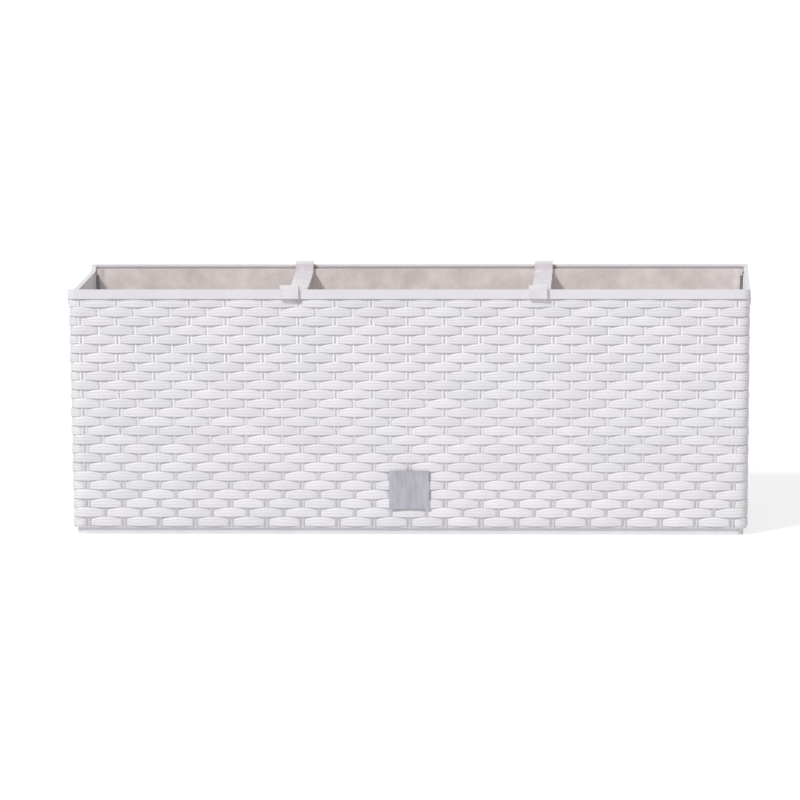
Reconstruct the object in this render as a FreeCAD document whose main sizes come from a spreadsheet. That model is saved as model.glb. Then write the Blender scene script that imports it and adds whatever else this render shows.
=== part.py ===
"""Self-watering window-box planter: woven-look casing, lift-out liner and water reservoir.

Millimetres. +X runs along the box, -Y is its front, +Z is up. The origin is the bottom
centre of the footprint, on the surface that the planter stands on.
"""
import FreeCAD, Part
import os
import re
import Sketcher

# ---------------------------------------------------------------- driving sizes
SIZES = {
    # casing
    "length": 514.0,             # over the rim band, along X
    "depth": 192.0,              # over the rim band, along Y
    "height": 186.0,             # floor to the long rims
    "draft_inset": 1.6,          # how far each wall leans in by the bottom
    "corner_radius": 6.0,
    "rim_height": 6.8,           # plain band above the weave
    "rim_proud": 1.5,            # band beyond the wall that carries the weave
    "rim_dip": 5.0,              # scoop in the two end rims
    "horn_width": 4.0,           # rim left standing at each corner beside the scoop
    "end_band_margin": 1.0,      # end bands stop this far short of the round corners
    "wall": 2.0,
    "floor_thickness": 2.3,
    "plinth_height": 5.2,
    "plinth_inset": 2.2,
    "rib_width": 3.0,            # plinth ring and the ribs under the floor
    "rib_pitch": 120.0,
    # water reservoir, between the casing's floor and the liner's
    "reservoir_depth": 38.0,
    "post_radius": 8.0,
    "post_bore": 5.5,
    "post_pitch_x": 80.0,        # inner posts, from the middle
    "post_end_inset": 34.0,      # outer posts, from the casing's ends
    "post_pitch_y": 52.0,
    "overflow_drop": 7.0,        # overflow centre below the liner's floor
    "overflow_radius": 4.0,
    "eyelet_width": 3.0,
    # liner
    "liner_wall": 1.6,
    "liner_drop": 3.0,           # liner rim below the casing rim
    "liner_gap": 0.6,            # liner flange to the casing, all round
    "liner_taper": 4.0,          # extra lean of the liner's walls
    "grip_depth": 24.0,          # cut-down end walls, to get hold of the liner
    "grip_round": 8.0,
    "flange_step": 0.9,
    "flange_height": 5.0,
    # capillary soil cups
    "cup_pitch": 160.0,
    "cup_radius": 33.0,
    "cup_foot_radius": 27.0,
    "cup_wall": 1.6,
    "cup_lip": 4.0,
    "cup_clearance": 4.0,        # cup foot above the casing's floor
    "cup_slot_width": 5.0,
    "cup_slot_height": 20.0,
    "cup_slots": 12,
    "cup_drain_radius": 2.5,
    "fit": 0.3,                  # pieces dropped into holes
    "running_fit": 0.06,         # pins and rods that turn or slide
    # the two tubes beside the front wall
    "tube_inset_x": 42.0,
    "tube_inset_y": 34.0,
    "tube_foot_gap": 3.0,
    "tube_drop": 17.0,           # tube tops below the casing rim
    "seat_width": 3.0,           # flange that rests on the liner's floor
    "seat_thickness": 2.0,
    "fill_radius": 13.0,
    "fill_wall": 2.0,
    "collar_wall": 1.8,
    "collar_skirt": 8.0,
    "collar_lip": 2.0,
    "cap_thickness": 2.5,
    "cap_plug": 3.0,
    "cap_fit": 0.5,
    "hinge_radius": 2.4,
    "hinge_pin_radius": 1.0,
    "hinge_width": 12.0,
    "hinge_ear": 3.0,
    # water-level indicator
    "gauge_radius": 10.0,
    "gauge_wall": 1.5,
    "gauge_plug": 3.0,
    "float_height": 16.0,
    "float_travel": 26.0,
    "float_fit": 1.0,
    "rod_radius": 1.25,
    "rod_seat": 5.0,
    "flag_height": 8.0,
    "bush_height": 3.0,
    # drain
    "drain_x": 150.0,
    "drain_rise": 10.0,          # drain centre above the casing's floor
    "drain_radius": 6.0,
    "drain_boss_radius": 14.0,
    "drain_boss_proud": 0.4,
    "drain_recess": 2.0,
    "drain_boss_depth": 6.0,
    "seal_thickness": 1.4,
    "seal_width": 3.4,
    "plug_head": 2.4,
    "plug_shank": 6.5,
    # badge
    "badge_width": 30.0,
    "badge_height": 29.0,
    "badge_thickness": 1.0,
    "badge_rise": 34.5,          # badge centre above the standing surface
    "badge_tape": 0.4,
    "badge_margin": 0.6,
    "badge_pad": 3.4,
    "badge_pad_proud": 0.9,
    # rim ties
    "tie_width": 13.9,
    "tie_left_x": 89.4,
    "tie_right_x": 97.6,
    "tie_thickness": 2.2,
    "tie_top": 2.8,
    "tie_lip": 6.4,              # outer leg below the rim
    "tie_inner_leg": 4.5,
    "tie_sag": 10.0,
    "tie_gap": 0.3,
    "tie_bend": 2.0,
}

# ---------------------------------------------------------------- sizes worked out
DERIVED = {
    "half_length": "length / 2",
    "half_depth": "depth / 2",
    "wall_length": "length - 2 * rim_proud",
    "wall_depth": "depth - 2 * rim_proud",
    "base_length": "wall_length - 2 * draft_inset",
    "base_depth": "wall_depth - 2 * draft_inset",
    "casing_floor": "plinth_height + floor_thickness",
    "floor_inset": "draft_inset * (height - casing_floor) / (height - plinth_height)",
    "inner_length": "wall_length - 2 * wall",
    "inner_depth": "wall_depth - 2 * wall",
    "scoop_width": "depth - 2 * horn_width",
    "end_band_width": "depth - 2 * (corner_radius + end_band_margin)",
    "post_end_x": "half_length - post_end_inset",
    "liner_floor": "casing_floor + reservoir_depth",
    "liner_top": "height - liner_drop",
    "flange_length": "inner_length - 2 * liner_gap",
    "flange_depth": "inner_depth - 2 * liner_gap",
    "grip_width": "flange_depth - 2 * (flange_step + liner_wall + end_band_margin)",
    "liner_length": "flange_length - 2 * flange_step",
    "liner_depth": "flange_depth - 2 * flange_step",
    "liner_floor_top": "liner_floor + liner_wall",
    "cup_bottom": "casing_floor + cup_clearance",
    "cup_hole": "cup_radius + fit",
    "tube_x": "half_length - tube_inset_x",
    "tube_y": "half_depth - tube_inset_y",
    "tube_bottom": "casing_floor + tube_foot_gap",
    "tube_top": "height - tube_drop",
    "fill_bore": "fill_radius - fill_wall",
    "collar_top": "tube_top + collar_lip",
    "collar_radius": "fill_radius + fit + collar_wall",
    "hinge_reach": "collar_radius + hinge_radius + fit",
    "hinge_rise": "collar_top + cap_thickness / 2",
    "gauge_bore": "gauge_radius - gauge_wall",
    "plug_radius": "gauge_bore - running_fit",
    "float_rest": "tube_bottom + gauge_plug",
    "float_top": "float_rest + float_height",
    "float_radius": "gauge_bore - float_fit",
    "flag_rest": "tube_top - gauge_plug - fit - float_travel - flag_height",
    "bush_bottom": "flag_rest - 1 - bush_height",
    "rod_bottom": "float_top - rod_seat",
    "rod_top": "flag_rest + rod_seat",
    "drain_z": "casing_floor + drain_rise",
    "wall_at_drain": "base_depth / 2 + draft_inset * (drain_z - plinth_height) / (height - plinth_height)",
    "boss_face": "wall_at_drain + drain_boss_proud",
    "recess_face": "boss_face - drain_recess",
    "overflow_z": "liner_floor - overflow_drop",
    "wall_at_badge": "base_depth / 2 + draft_inset * (badge_rise - plinth_height) / (height - plinth_height)",
    "badge_seat": "wall_at_badge + badge_pad_proud",
    "tie_outer": "half_depth + tie_gap",
    "tie_inner": "half_depth - rim_proud - wall - liner_gap - flange_step - liner_wall - tie_gap",
    "tie_inner_face": "tie_inner - tie_thickness",
    "tie_floor": "height - tie_inner_leg",
    "tie_middle": "height - tie_sag",
}


def formula(text):
    """Spell a size out in the sheet's cells, working through the derived names."""
    def spell(word):
        name = word.group()
        if name in DERIVED:
            return "(" + formula(DERIVED[name]) + ")"
        return "Sizes." + name
    return re.sub(r"[a-z][a-z_]*", spell, text)


def value(text):
    """Number that a formula has now, used to lay an outline near its final place."""
    return float(doc.Sizes.evalExpression(formula(text)))


def bind(thing, paths):
    for path, text in paths.items():
        thing.setExpression(path, formula(text))


# ---------------------------------------------------------------- document and sheet
doc = FreeCAD.newDocument("SelfWateringPlanter")
sheet = doc.addObject("Spreadsheet::Sheet", "Sizes")
for row, (name, number) in enumerate(SIZES.items(), start=1):
    sheet.set(f"A{row}", name)
    sheet.set(f"B{row}", str(number))
    sheet.setAlias(f"B{row}", name)
doc.recompute()


# ---------------------------------------------------------------- sketch helpers
def new_body(name, x="0", y="0", z="0"):
    body = doc.addObject("PartDesign::Body", name)
    body.Label = name
    bind(body, {"Placement.Base.x": x, "Placement.Base.y": y, "Placement.Base.z": z})
    return body


def new_sketch(body, name, plane, level="0"):
    """Sketch on one of the body's own planes, moved along that plane's normal."""
    sketch = body.newObject("Sketcher::SketchObject", name)
    support = next(f for f in body.Origin.OriginFeatures if f.Role == plane)
    sketch.AttachmentSupport = (support, [""])
    sketch.MapMode = "FlatFace"
    bind(sketch, {"AttachmentOffset.Base.z": level})
    return sketch


def hold(sketch, kind, element, text):
    """Add a size to one element of a sketch and bind it to a formula."""
    index = sketch.addConstraint(Sketcher.Constraint(kind, *element, value(text)))
    bind(sketch, {f"Constraints[{index}]": text})


def hold_point(sketch, edge, end, across, up):
    """Fix one end of an edge at a place measured from the sketch's origin."""
    for axis, kind, text in ((-2, "DistanceX", across), (-1, "DistanceY", up)):
        if text == "0":
            sketch.addConstraint(Sketcher.Constraint("PointOnObject", edge, end, axis))
        else:
            hold(sketch, kind, (-1, 1, edge, end), text)


def outline(sketch, corners):
    """Closed outline; a corner with a third value starts an arc of that radius, sagging down."""
    count = len(corners)
    first = sketch.GeometryCount
    places = [FreeCAD.Vector(value(corner[0]), value(corner[1]), 0) for corner in corners]
    starts, ends = [], []
    for i, corner in enumerate(corners):
        here, there = places[i], places[(i + 1) % count]
        forward = True
        if len(corner) == 3:
            chord, radius = here.distanceToPoint(there), value(corner[2])
            sag = radius - (radius ** 2 - (chord / 2) ** 2) ** 0.5
            lowest = (here + there) * 0.5 - FreeCAD.Vector(0, sag, 0)
            edge = Part.Arc(here, lowest, there)
            forward = here.x < there.x
        else:
            edge = Part.LineSegment(here, there)
        sketch.addGeometry(edge, False)
        starts.append(1 if forward else 2)
        ends.append(2 if forward else 1)
    for i in range(count):
        after = (i + 1) % count
        joint = Sketcher.Constraint("Coincident", first + i, ends[i], first + after, starts[after])
        sketch.addConstraint(joint)
    for i, corner in enumerate(corners):
        hold_point(sketch, first + i, starts[i], corner[0], corner[1])
        if len(corner) == 3:
            hold(sketch, "Radius", (first + i,), corner[2])


def box_outline(sketch, left, right, bottom, top):
    outline(sketch, [(left, bottom), (right, bottom), (right, top), (left, top)])


def rounded_box(sketch, width, bottom, top, radius):
    """Rectangle centred across the sketch, with four round corners."""
    first = sketch.GeometryCount
    x, low, high, r = value(width) / 2, value(bottom), value(top), value(radius)
    sides = [((r - x, low), (x - r, low)), ((x, low + r), (x, high - r)),
             ((x - r, high), (r - x, high)), ((-x, high - r), (-x, low + r))]
    for start, end in sides:
        sketch.addGeometry(Part.LineSegment(FreeCAD.Vector(*start), FreeCAD.Vector(*end)), False)
    turn = 0.70711 * r
    centres = [(x - r, low + r, 1, -1), (x - r, high - r, 1, 1),
               (r - x, high - r, -1, 1), (r - x, low + r, -1, -1)]
    for i, (cx, cy, right, up) in enumerate(centres):
        start, end = sides[i][1], sides[(i + 1) % 4][0]
        middle = FreeCAD.Vector(cx + right * turn, cy + up * turn)
        sketch.addGeometry(Part.Arc(FreeCAD.Vector(*start), middle, FreeCAD.Vector(*end)), False)
    for i in range(4):
        side, arc, after = first + i, first + 4 + i, first + (i + 1) % 4
        sketch.addConstraint(Sketcher.Constraint("Tangent", side, 2, arc, 1))
        sketch.addConstraint(Sketcher.Constraint("Tangent", arc, 2, after, 1))
        sketch.addConstraint(Sketcher.Constraint("Vertical" if i % 2 else "Horizontal", side))
        if i:
            sketch.addConstraint(Sketcher.Constraint("Equal", first + 4, arc))
    hold(sketch, "Radius", (first + 4,), radius)
    hold(sketch, "DistanceY", (-1, 1, first, 1), bottom)
    hold(sketch, "DistanceX", (-1, 1, first + 1, 1), f"({width}) / 2")
    hold(sketch, "DistanceY", (-1, 1, first + 2, 1), top)
    hold(sketch, "DistanceX", (-1, 1, first + 3, 1), f"-({width}) / 2")


def plan_box(sketch, length, depth, radius):
    """Rounded rectangle centred both ways."""
    rounded_box(sketch, length, f"-({depth}) / 2", f"({depth}) / 2", radius)


def circle(sketch, across, up, radius):
    centre = FreeCAD.Vector(value(across), value(up), 0)
    ring = sketch.addGeometry(Part.Circle(centre, FreeCAD.Vector(0, 0, 1), value(radius)), False)
    hold_point(sketch, ring, 3, across, up)
    hold(sketch, "Radius", (ring,), radius)


# ---------------------------------------------------------------- feature helpers
def add(body, name, sketch, length, flip=False, both_ways=False):
    feature = body.newObject("PartDesign::Pad", name)
    feature.Profile = sketch
    feature.SideType = "Symmetric" if both_ways else "One side"
    feature.Reversed = flip
    bind(feature, {"Length": length})
    doc.recompute()
    return feature


def cut(body, name, sketch, length, flip=False, both_ways=False):
    """Pocket that must take something away; flip sends it along the sketch's normal."""
    before = body.Shape.Volume
    feature = body.newObject("PartDesign::Pocket", name)
    feature.Profile = sketch
    feature.SideType = "Symmetric" if both_ways else "One side"
    feature.Reversed = flip
    bind(feature, {"Length": length})
    doc.recompute()
    if body.Shape.Volume > before - 0.01:
        raise ValueError(f"{name} takes nothing away from {body.Label}")
    return feature


def revolve(body, name, sketch, axis="V_Axis"):
    feature = body.newObject("PartDesign::Revolution", name)
    feature.Profile = sketch
    feature.ReferenceAxis = (sketch, [axis])
    feature.Angle = 360
    doc.recompute()
    return feature


def repeat_round(body, name, feature, count):
    """Polar pattern of one feature about the body's upright axis."""
    pattern = body.newObject("PartDesign::PolarPattern", name)
    pattern.Originals = [feature]
    upright = next(f for f in body.Origin.OriginFeatures if f.Role == "Z_Axis")
    pattern.Axis = (upright, [""])
    pattern.Angle = 360
    bind(pattern, {"Occurrences": count})
    body.Tip = pattern
    doc.recompute()
    return pattern


def tapered_block(body, kind, name, levels, lengths, depths, radius):
    """Upright block with round corners whose plan grows from the lower level to the upper one."""
    plans = []
    for end, level, length, depth in zip(("Low", "High"), levels, lengths, depths):
        plan = new_sketch(body, name + end, "XY_Plane", level)
        plan_box(plan, length, depth, radius)
        plans.append(plan)
    block = body.newObject(f"PartDesign::{kind}Loft", name)
    block.Profile = plans[0]
    block.Sections = plans[1:]
    block.Ruled = True
    doc.recompute()
    return block


def round_edges(body, name, radius, wanted):
    """Fillet the straight edges of the body so far whose two ends pass the test."""
    base = body.Tip
    names = []
    for number, edge in enumerate(base.Shape.Edges, start=1):
        ends = [vertex.Point for vertex in edge.Vertexes]
        if len(ends) == 2 and wanted(*ends):
            names.append(f"Edge{number}")
    fillet = body.newObject("PartDesign::Fillet", name)
    fillet.Base = (base, names)
    bind(fillet, {"Radius": radius})
    doc.recompute()
    return fillet


# ---------------------------------------------------------------- casing
def make_casing():
    body = new_body("casing")
    tapered_block(body, "Additive", "Walls", ("plinth_height", "height"),
                  ("base_length", "wall_length"), ("base_depth", "wall_depth"), "corner_radius - rim_proud")

    band = new_sketch(body, "RimBandPlan", "XY_Plane", "height - rim_height")
    plan_box(band, "length", "depth", "corner_radius")
    add(body, "RimBand", band, "rim_height")
    ends = new_sketch(body, "EndBandSide", "YZ_Plane")
    rounded_box(ends, "end_band_width", "height - rim_dip - rim_height", "height", "rim_dip")
    add(body, "EndBands", ends, "length", both_ways=True)

    tapered_block(body, "Subtractive", "Cavity", ("casing_floor", "height"),
                  ("inner_length - 2 * floor_inset", "inner_length"),
                  ("inner_depth - 2 * floor_inset", "inner_depth"), "corner_radius - rim_proud - wall")
    scoop = new_sketch(body, "ScoopSide", "YZ_Plane")
    rounded_box(scoop, "scoop_width", "height - rim_dip", "height + 2 * rim_dip", "rim_dip")
    cut(body, "Scoop", scoop, "length + wall", both_ways=True)

    make_plinth(body)
    make_posts(body)
    make_drain_boss(body)
    make_overflow(body)
    pad = new_sketch(body, "BadgePadFace", "XZ_Plane", "badge_seat")
    half = "badge_width / 2 - badge_margin"
    box_outline(pad, f"-({half})", half, "badge_rise - badge_height / 2 + badge_margin",
                "badge_rise + badge_height / 2 - badge_margin")
    add(body, "BadgePad", pad, "badge_pad", flip=True)


def make_plinth(body):
    """Ring set in from the walls, with ribs that cross under the middle of the floor."""
    ring = new_sketch(body, "PlinthPlan", "XY_Plane")
    outer = "plinth_inset + {} * rib_width"
    for layer in (0, 1):
        inset = outer.format(layer)
        plan_box(ring, f"base_length - 2 * ({inset})", f"base_depth - 2 * ({inset})",
                 f"corner_radius - {layer} * rib_width")
    add(body, "Plinth", ring, "plinth_height")
    reach_x = "base_length / 2 - plinth_inset - rib_width / 2"
    reach_y = "base_depth / 2 - plinth_inset - rib_width / 2"
    rib = new_sketch(body, "LongRibPlan", "XY_Plane")
    box_outline(rib, f"-({reach_x})", reach_x, "-rib_width / 2", "rib_width / 2")
    add(body, "LongRib", rib, "plinth_height")
    for side, place in (("Left", "-rib_pitch"), ("Middle", "0 * rib_pitch"), ("Right", "rib_pitch")):
        rib = new_sketch(body, f"{side}RibPlan", "XY_Plane")
        box_outline(rib, f"{place} - rib_width / 2", f"{place} + rib_width / 2",
                    f"-({reach_y})", reach_y)
        add(body, f"{side}Rib", rib, "plinth_height")


def make_posts(body):
    """Six hollow posts that carry the liner above the water."""
    posts = new_sketch(body, "PostPlan", "XY_Plane", "casing_floor")
    places = [(x, y) for x in ("post_pitch_x", "-post_pitch_x") for y in ("post_pitch_y", "-post_pitch_y")]
    places += [("post_end_x", "0"), ("-post_end_x", "0")]
    for x, y in places:
        circle(posts, x, y, "post_radius")
        circle(posts, x, y, "post_bore")
    add(body, "Posts", posts, "reservoir_depth")


def make_drain_boss(body):
    """Round boss through the back wall, recessed for the drain plug and its seal."""
    steps = (("DrainBoss", "boss_face", "drain_boss_radius", "drain_boss_depth"),
             ("DrainRecess", "boss_face", "drain_radius + seal_width + 2 * fit", "drain_recess"),
             ("DrainHole", "boss_face", "drain_radius", "drain_boss_depth + 1"))
    for name, face, radius, length in steps:
        sketch = new_sketch(body, name + "Face", "XZ_Plane", f"-({face})")
        circle(sketch, "drain_x", "drain_z", radius)
        if name == "DrainBoss":
            add(body, name, sketch, length)
        else:
            cut(body, name, sketch, length, flip=True)


def make_overflow(body):
    """Overflow hole in the back wall, in a low round eyelet."""
    eyelet = new_sketch(body, "OverflowFace", "XZ_Plane", "-(boss_face)")
    circle(eyelet, "0", "overflow_z", "overflow_radius + eyelet_width")
    add(body, "OverflowEyelet", eyelet, "wall")
    hole = new_sketch(body, "OverflowHoleFace", "XZ_Plane", "-(half_depth)")
    circle(hole, "0", "overflow_z", "overflow_radius")
    cut(body, "OverflowHole", hole, "half_depth / 4", flip=True)


# ---------------------------------------------------------------- liner
def make_liner():
    """Lift-out soil tub that stands on the casing's posts."""
    body = new_body("liner")
    low_length, low_depth = "liner_length - 2 * liner_taper", "liner_depth - 2 * liner_taper"
    tapered_block(body, "Additive", "Tub", ("liner_floor", "liner_top"),
                  (low_length, "liner_length"), (low_depth, "liner_depth"), "corner_radius")
    flange = new_sketch(body, "FlangePlan", "XY_Plane", "liner_top - flange_height")
    plan_box(flange, "flange_length", "flange_depth", "corner_radius")
    add(body, "Flange", flange, "flange_height")
    ends = new_sketch(body, "EndFlangeSide", "YZ_Plane")
    rounded_box(ends, "flange_depth - 2 * (corner_radius + end_band_margin)",
                "liner_top - grip_depth - flange_height", "liner_top", "grip_round")
    add(body, "EndFlanges", ends, "flange_length", both_ways=True)

    skin = "2 * liner_wall"
    tapered_block(body, "Subtractive", "SoilSpace", ("liner_floor_top", "liner_top"),
                  (f"{low_length} - {skin}", f"liner_length - {skin}"),
                  (f"{low_depth} - {skin}", f"liner_depth - {skin}"), "corner_radius - liner_wall")
    grip = new_sketch(body, "GripSide", "YZ_Plane")
    rounded_box(grip, "grip_width", "liner_top - grip_depth", "liner_top + grip_depth", "grip_round")
    cut(body, "Grips", grip, "length", both_ways=True)

    holes = new_sketch(body, "FloorHoles", "XY_Plane", "liner_floor_top")
    for x in ("-cup_pitch", "0", "cup_pitch"):
        circle(holes, x, "0", "cup_hole")
    circle(holes, "tube_x", "-tube_y", "fill_radius + fit")
    circle(holes, "-tube_x", "-tube_y", "gauge_radius + fit")
    cut(body, "CupAndTubeHoles", holes, "liner_wall")


# ---------------------------------------------------------------- soil cups
def make_soil_cup(name, x):
    """Slotted cup that dips soil into the water; its lip rests on the liner's floor."""
    body = new_body(name, x=x)
    profile = new_sketch(body, "CupProfile", "XZ_Plane")
    outline(profile, [
        ("0", "cup_bottom"), ("cup_foot_radius", "cup_bottom"), ("cup_radius", "liner_floor_top"),
        ("cup_radius + cup_lip", "liner_floor_top"), ("cup_radius + cup_lip", "liner_floor_top + cup_wall"),
        ("cup_radius - cup_wall", "liner_floor_top + cup_wall"),
        ("cup_foot_radius - cup_wall", "cup_bottom + cup_wall"), ("0", "cup_bottom + cup_wall"),
    ])
    revolve(body, "Cup", profile)
    slot = new_sketch(body, "SlotFace", "XZ_Plane")
    middle = "(cup_bottom + liner_floor) / 2"
    rounded_box(slot, "cup_slot_width", f"{middle} - cup_slot_height / 2",
                f"{middle} + cup_slot_height / 2", "cup_slot_width / 3")
    first = cut(body, "Slot", slot, "cup_radius + cup_lip")
    repeat_round(body, "Slots", first, "cup_slots")
    hole = new_sketch(body, "DrainHolePlan", "XY_Plane", "cup_bottom")
    circle(hole, "cup_foot_radius / 2", "0", "cup_drain_radius")
    first = cut(body, "DrainHole", hole, "cup_wall", flip=True)
    repeat_round(body, "DrainHoles", first, "cup_slots / 2")


# ---------------------------------------------------------------- filling tube, collar and cap
def seated_tube(body, radius, bore):
    """Tube down into the water, with a flange that rests on the liner's floor."""
    profile = new_sketch(body, "TubeProfile", "XZ_Plane")
    outline(profile, [
        (bore, "tube_bottom"), (radius, "tube_bottom"), (radius, "liner_floor_top"),
        (f"{radius} + seat_width", "liner_floor_top"),
        (f"{radius} + seat_width", "liner_floor_top + seat_thickness"),
        (radius, "liner_floor_top + seat_thickness"), (radius, "tube_top"), (bore, "tube_top"),
    ])
    revolve(body, "Tube", profile)
    notch = new_sketch(body, "NotchFace", "XZ_Plane")
    low = "tube_bottom + gauge_plug + seat_thickness"
    rounded_box(notch, "cup_slot_width", low, f"{low} + cup_slot_height", "cup_slot_width / 3")
    cut(body, "WaterSlots", notch, f"3 * ({radius})", both_ways=True)


def make_fill_tube():
    body = new_body("fill_tube", x="tube_x", y="-tube_y")
    seated_tube(body, "fill_radius", "fill_bore")


def make_fill_collar():
    """Ring pushed over the filling tube, with two ears for the cap's pin."""
    body = new_body("fill_collar", x="tube_x", y="-tube_y")
    profile = new_sketch(body, "CollarProfile", "XZ_Plane")
    outline(profile, [
        ("fill_radius + fit", "tube_top - collar_skirt"), ("collar_radius", "tube_top - collar_skirt"),
        ("collar_radius", "collar_top"), ("fill_bore", "collar_top"), ("fill_bore", "tube_top"),
        ("fill_radius + fit", "tube_top"),
    ])
    revolve(body, "Ring", profile)
    ear = new_sketch(body, "EarSide", "YZ_Plane")
    box_outline(ear, "collar_radius - collar_wall / 2", "hinge_reach + hinge_radius",
                "tube_top - collar_lip", "hinge_rise + 2 * hinge_pin_radius")
    add(body, "Ears", ear, "hinge_width + 2 * (hinge_ear + fit)", both_ways=True)
    gap = new_sketch(body, "BarrelGapSide", "YZ_Plane")
    far, near = "hinge_reach + 2 * hinge_radius", "collar_radius + fit / 2"
    low, high = "tube_top - 2 * collar_lip", "hinge_rise + 2 * hinge_radius"
    outline(gap, [(near, low), (far, low), (far, high), ("fill_bore", high),
                  ("fill_bore", "collar_top"), (near, "collar_top")])
    cut(body, "BarrelGap", gap, "hinge_width + 2 * fit", both_ways=True)
    clear = new_sketch(body, "CapClearPlan", "XY_Plane", "collar_top")
    circle(clear, "0", "0", "collar_radius + 3 * fit")
    cut(body, "CapClearance", clear, "3 * hinge_radius", flip=True)
    bore = new_sketch(body, "PinBoreSide", "YZ_Plane")
    circle(bore, "hinge_reach", "hinge_rise", "hinge_pin_radius + running_fit / 2")
    cut(body, "PinBore", bore, "2 * (hinge_width + hinge_ear)", both_ways=True)


def make_fill_cap():
    """Flip cap whose plug drops into the collar; its barrel turns on the pin."""
    body = new_body("fill_cap", x="tube_x", y="-tube_y")
    profile = new_sketch(body, "CapProfile", "XZ_Plane")
    outline(profile, [
        ("0", "collar_top"), ("fill_bore - cap_fit - collar_wall", "collar_top"),
        ("fill_bore - cap_fit - collar_wall", "collar_top - cap_plug"),
        ("fill_bore - cap_fit", "collar_top - cap_plug"), ("fill_bore - cap_fit", "collar_top"),
        ("collar_radius", "collar_top"), ("collar_radius", "collar_top + cap_thickness"),
        ("0", "collar_top + cap_thickness"),
    ])
    revolve(body, "Lid", profile)
    barrel = new_sketch(body, "BarrelSide", "YZ_Plane")
    circle(barrel, "hinge_reach", "hinge_rise", "hinge_radius")
    add(body, "Barrel", barrel, "hinge_width", both_ways=True)
    web = new_sketch(body, "WebSide", "YZ_Plane")
    box_outline(web, "collar_radius / 2", "hinge_reach", "collar_top", "collar_top + cap_thickness")
    add(body, "Web", web, "hinge_width", both_ways=True)
    tab = new_sketch(body, "TabPlan", "XY_Plane", "collar_top")
    box_outline(tab, "-hinge_width / 2", "hinge_width / 2",
                "-(collar_radius + hinge_ear)", "-(collar_radius / 2)")
    add(body, "FingerTab", tab, "cap_thickness")
    bore = new_sketch(body, "PinBoreSide", "YZ_Plane")
    circle(bore, "hinge_reach", "hinge_rise", "hinge_pin_radius + running_fit")
    cut(body, "PinBore", bore, "2 * hinge_width", both_ways=True)


def make_fill_cap_pin():
    body = new_body("fill_cap_pin", x="tube_x", y="-tube_y + hinge_reach", z="hinge_rise")
    end = new_sketch(body, "PinEnd", "YZ_Plane")
    circle(end, "0", "0", "hinge_pin_radius")
    add(body, "Pin", end, "hinge_width + 2 * (hinge_ear + fit)", both_ways=True)


# ---------------------------------------------------------------- water-level indicator
def gauge_piece(name, corners):
    """Turned piece on the indicator's axis; corners are (radius, height) pairs."""
    body = new_body(name, x="-tube_x", y="-tube_y")
    profile = new_sketch(body, "Profile", "XZ_Plane")
    outline(profile, corners)
    revolve(body, "Turned", profile)
    return body


def make_indicator():
    tube = new_body("indicator_tube", x="-tube_x", y="-tube_y")
    seated_tube(tube, "gauge_radius", "gauge_bore")
    inlet = "gauge_bore / 3"
    gauge_piece("indicator_foot", [
        (inlet, "tube_bottom - seat_thickness"), ("gauge_radius", "tube_bottom - seat_thickness"),
        ("gauge_radius", "tube_bottom"), ("plug_radius", "tube_bottom"),
        ("plug_radius", "float_rest"), (inlet, "float_rest"),
    ])
    gauge_piece("indicator_float", [
        ("0", "float_rest"), ("float_radius", "float_rest"), ("float_radius", "float_top"),
        ("rod_radius", "float_top"), ("rod_radius", "rod_bottom"), ("0", "rod_bottom"),
    ])
    gauge_piece("indicator_rod", [
        ("0", "rod_bottom"), ("rod_radius", "rod_bottom"), ("rod_radius", "rod_top"), ("0", "rod_top"),
    ])
    gauge_piece("indicator_flag", [
        ("rod_radius", "flag_rest"), ("float_radius", "flag_rest"),
        ("float_radius", "flag_rest + flag_height"), ("0", "flag_rest + flag_height"),
        ("0", "rod_top"), ("rod_radius", "rod_top"),
    ])
    gauge_piece("indicator_bush", [
        ("rod_radius + running_fit", "bush_bottom"), ("plug_radius", "bush_bottom"),
        ("plug_radius", "bush_bottom + bush_height"),
        ("rod_radius + running_fit", "bush_bottom + bush_height"),
    ])
    gauge_piece("indicator_cap", [
        ("0", "tube_top - gauge_plug"), ("plug_radius", "tube_top - gauge_plug"),
        ("plug_radius", "tube_top"), ("gauge_radius", "tube_top"),
        ("gauge_radius", "tube_top + seat_thickness"), ("0", "tube_top + seat_thickness"),
    ])


# ---------------------------------------------------------------- drain plug and seal
def make_drain():
    """Both pieces turn about the hole's own axis, which runs out through the back wall."""
    seal = new_body("drain_seal", x="drain_x", z="drain_z")
    ring = new_sketch(seal, "SealProfile", "XY_Plane")
    seal_face = "recess_face + seal_thickness"
    outline(ring, [
        ("drain_radius", "recess_face"), ("drain_radius + seal_width", "recess_face"),
        ("drain_radius + seal_width", seal_face), ("drain_radius", seal_face),
    ])
    revolve(seal, "Ring", ring)

    plug = new_body("drain_plug", x="drain_x", z="drain_z")
    profile = new_sketch(plug, "PlugProfile", "XY_Plane")
    shank = "drain_radius - fit / 2"
    outline(profile, [
        ("0", "recess_face - plug_shank"), (f"{shank}", "recess_face - plug_shank"), (shank, seal_face),
        ("drain_radius + seal_width", seal_face),
        ("drain_radius + seal_width", f"{seal_face} + plug_head / 2"),
        ("0", f"{seal_face} + plug_head / 2"),
    ])
    revolve(plug, "Plug", profile)
    grip = new_sketch(plug, "GripFace", "XZ_Plane", f"-({seal_face})")
    box_outline(grip, "-(drain_radius + seal_width / 2)", "drain_radius + seal_width / 2",
                "-seal_thickness", "seal_thickness")
    add(plug, "Grip", grip, "plug_head", flip=True)


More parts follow.
